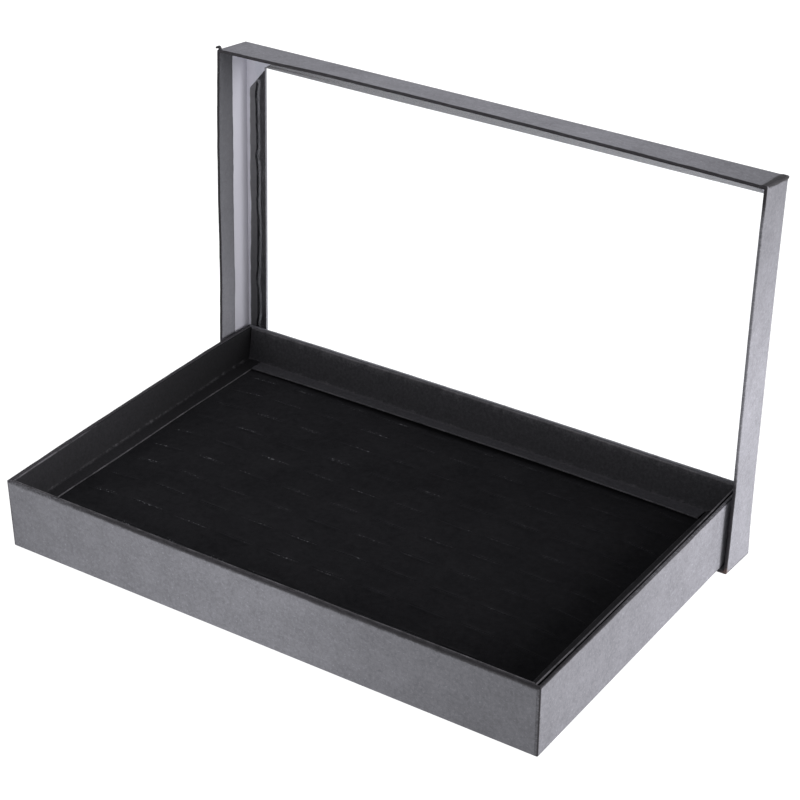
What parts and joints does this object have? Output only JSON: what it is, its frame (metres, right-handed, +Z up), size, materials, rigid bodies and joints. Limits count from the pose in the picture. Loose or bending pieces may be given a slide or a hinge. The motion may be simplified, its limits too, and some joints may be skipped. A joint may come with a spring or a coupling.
{
  "type": "ring display box",
  "caption": "Shallow black tray with a slit foam insert for finger rings, and a lift-off windowed lid standing upright behind it.",
  "frame": {"origin": "centre of the footprint box, on the table the box stands on", "axes": "+X along the long side to the viewer's right, +Y from the tray's open front end towards the upright lid, +Z up"},
  "size_m": [0.24, 0.1574, 0.16],
  "materials": {
    "grey_board": "plain grey board",
    "tape": "kraft corner tape",
    "wrap_paper": "black textured covering paper, satin",
    "liner_card": "black card, matte",
    "foam": "black foam",
    "velvet": "black flocked velvet",
    "lining_paper": "white lining paper",
    "film": "clear film"
  },
  "bodies": {
    "tray": {"tray_floor_board": "grey_board", "tray_front_board": "grey_board", "tray_back_board": "grey_board", "tray_left_board": "grey_board", "tray_right_board": "grey_board", "tray_corner_stays": "tape", "tray_wrap": "wrap_paper", "insert_card": "grey_board", "insert_foam": "foam", "insert_velvet": "velvet", "liner_front_strip": "liner_card", "liner_back_strip": "liner_card", "liner_left_strip": "liner_card", "liner_right_strip": "liner_card"},
    "lid": {"lid_window_board": "grey_board", "lid_top_board": "grey_board", "lid_bottom_board": "grey_board", "lid_left_board": "grey_board", "lid_right_board": "grey_board", "lid_corner_stays": "tape", "lid_wrap": "wrap_paper", "lid_wall_lining": "lining_paper", "lid_face_lining": "lining_paper", "window_film": "film"}
  },
  "joints": [
    {"name": "lid_pull_off", "type": "slide", "parent": "tray", "child": "lid", "axis": [0, 1, 0], "range_m": [0, 0.06]}
  ]
}
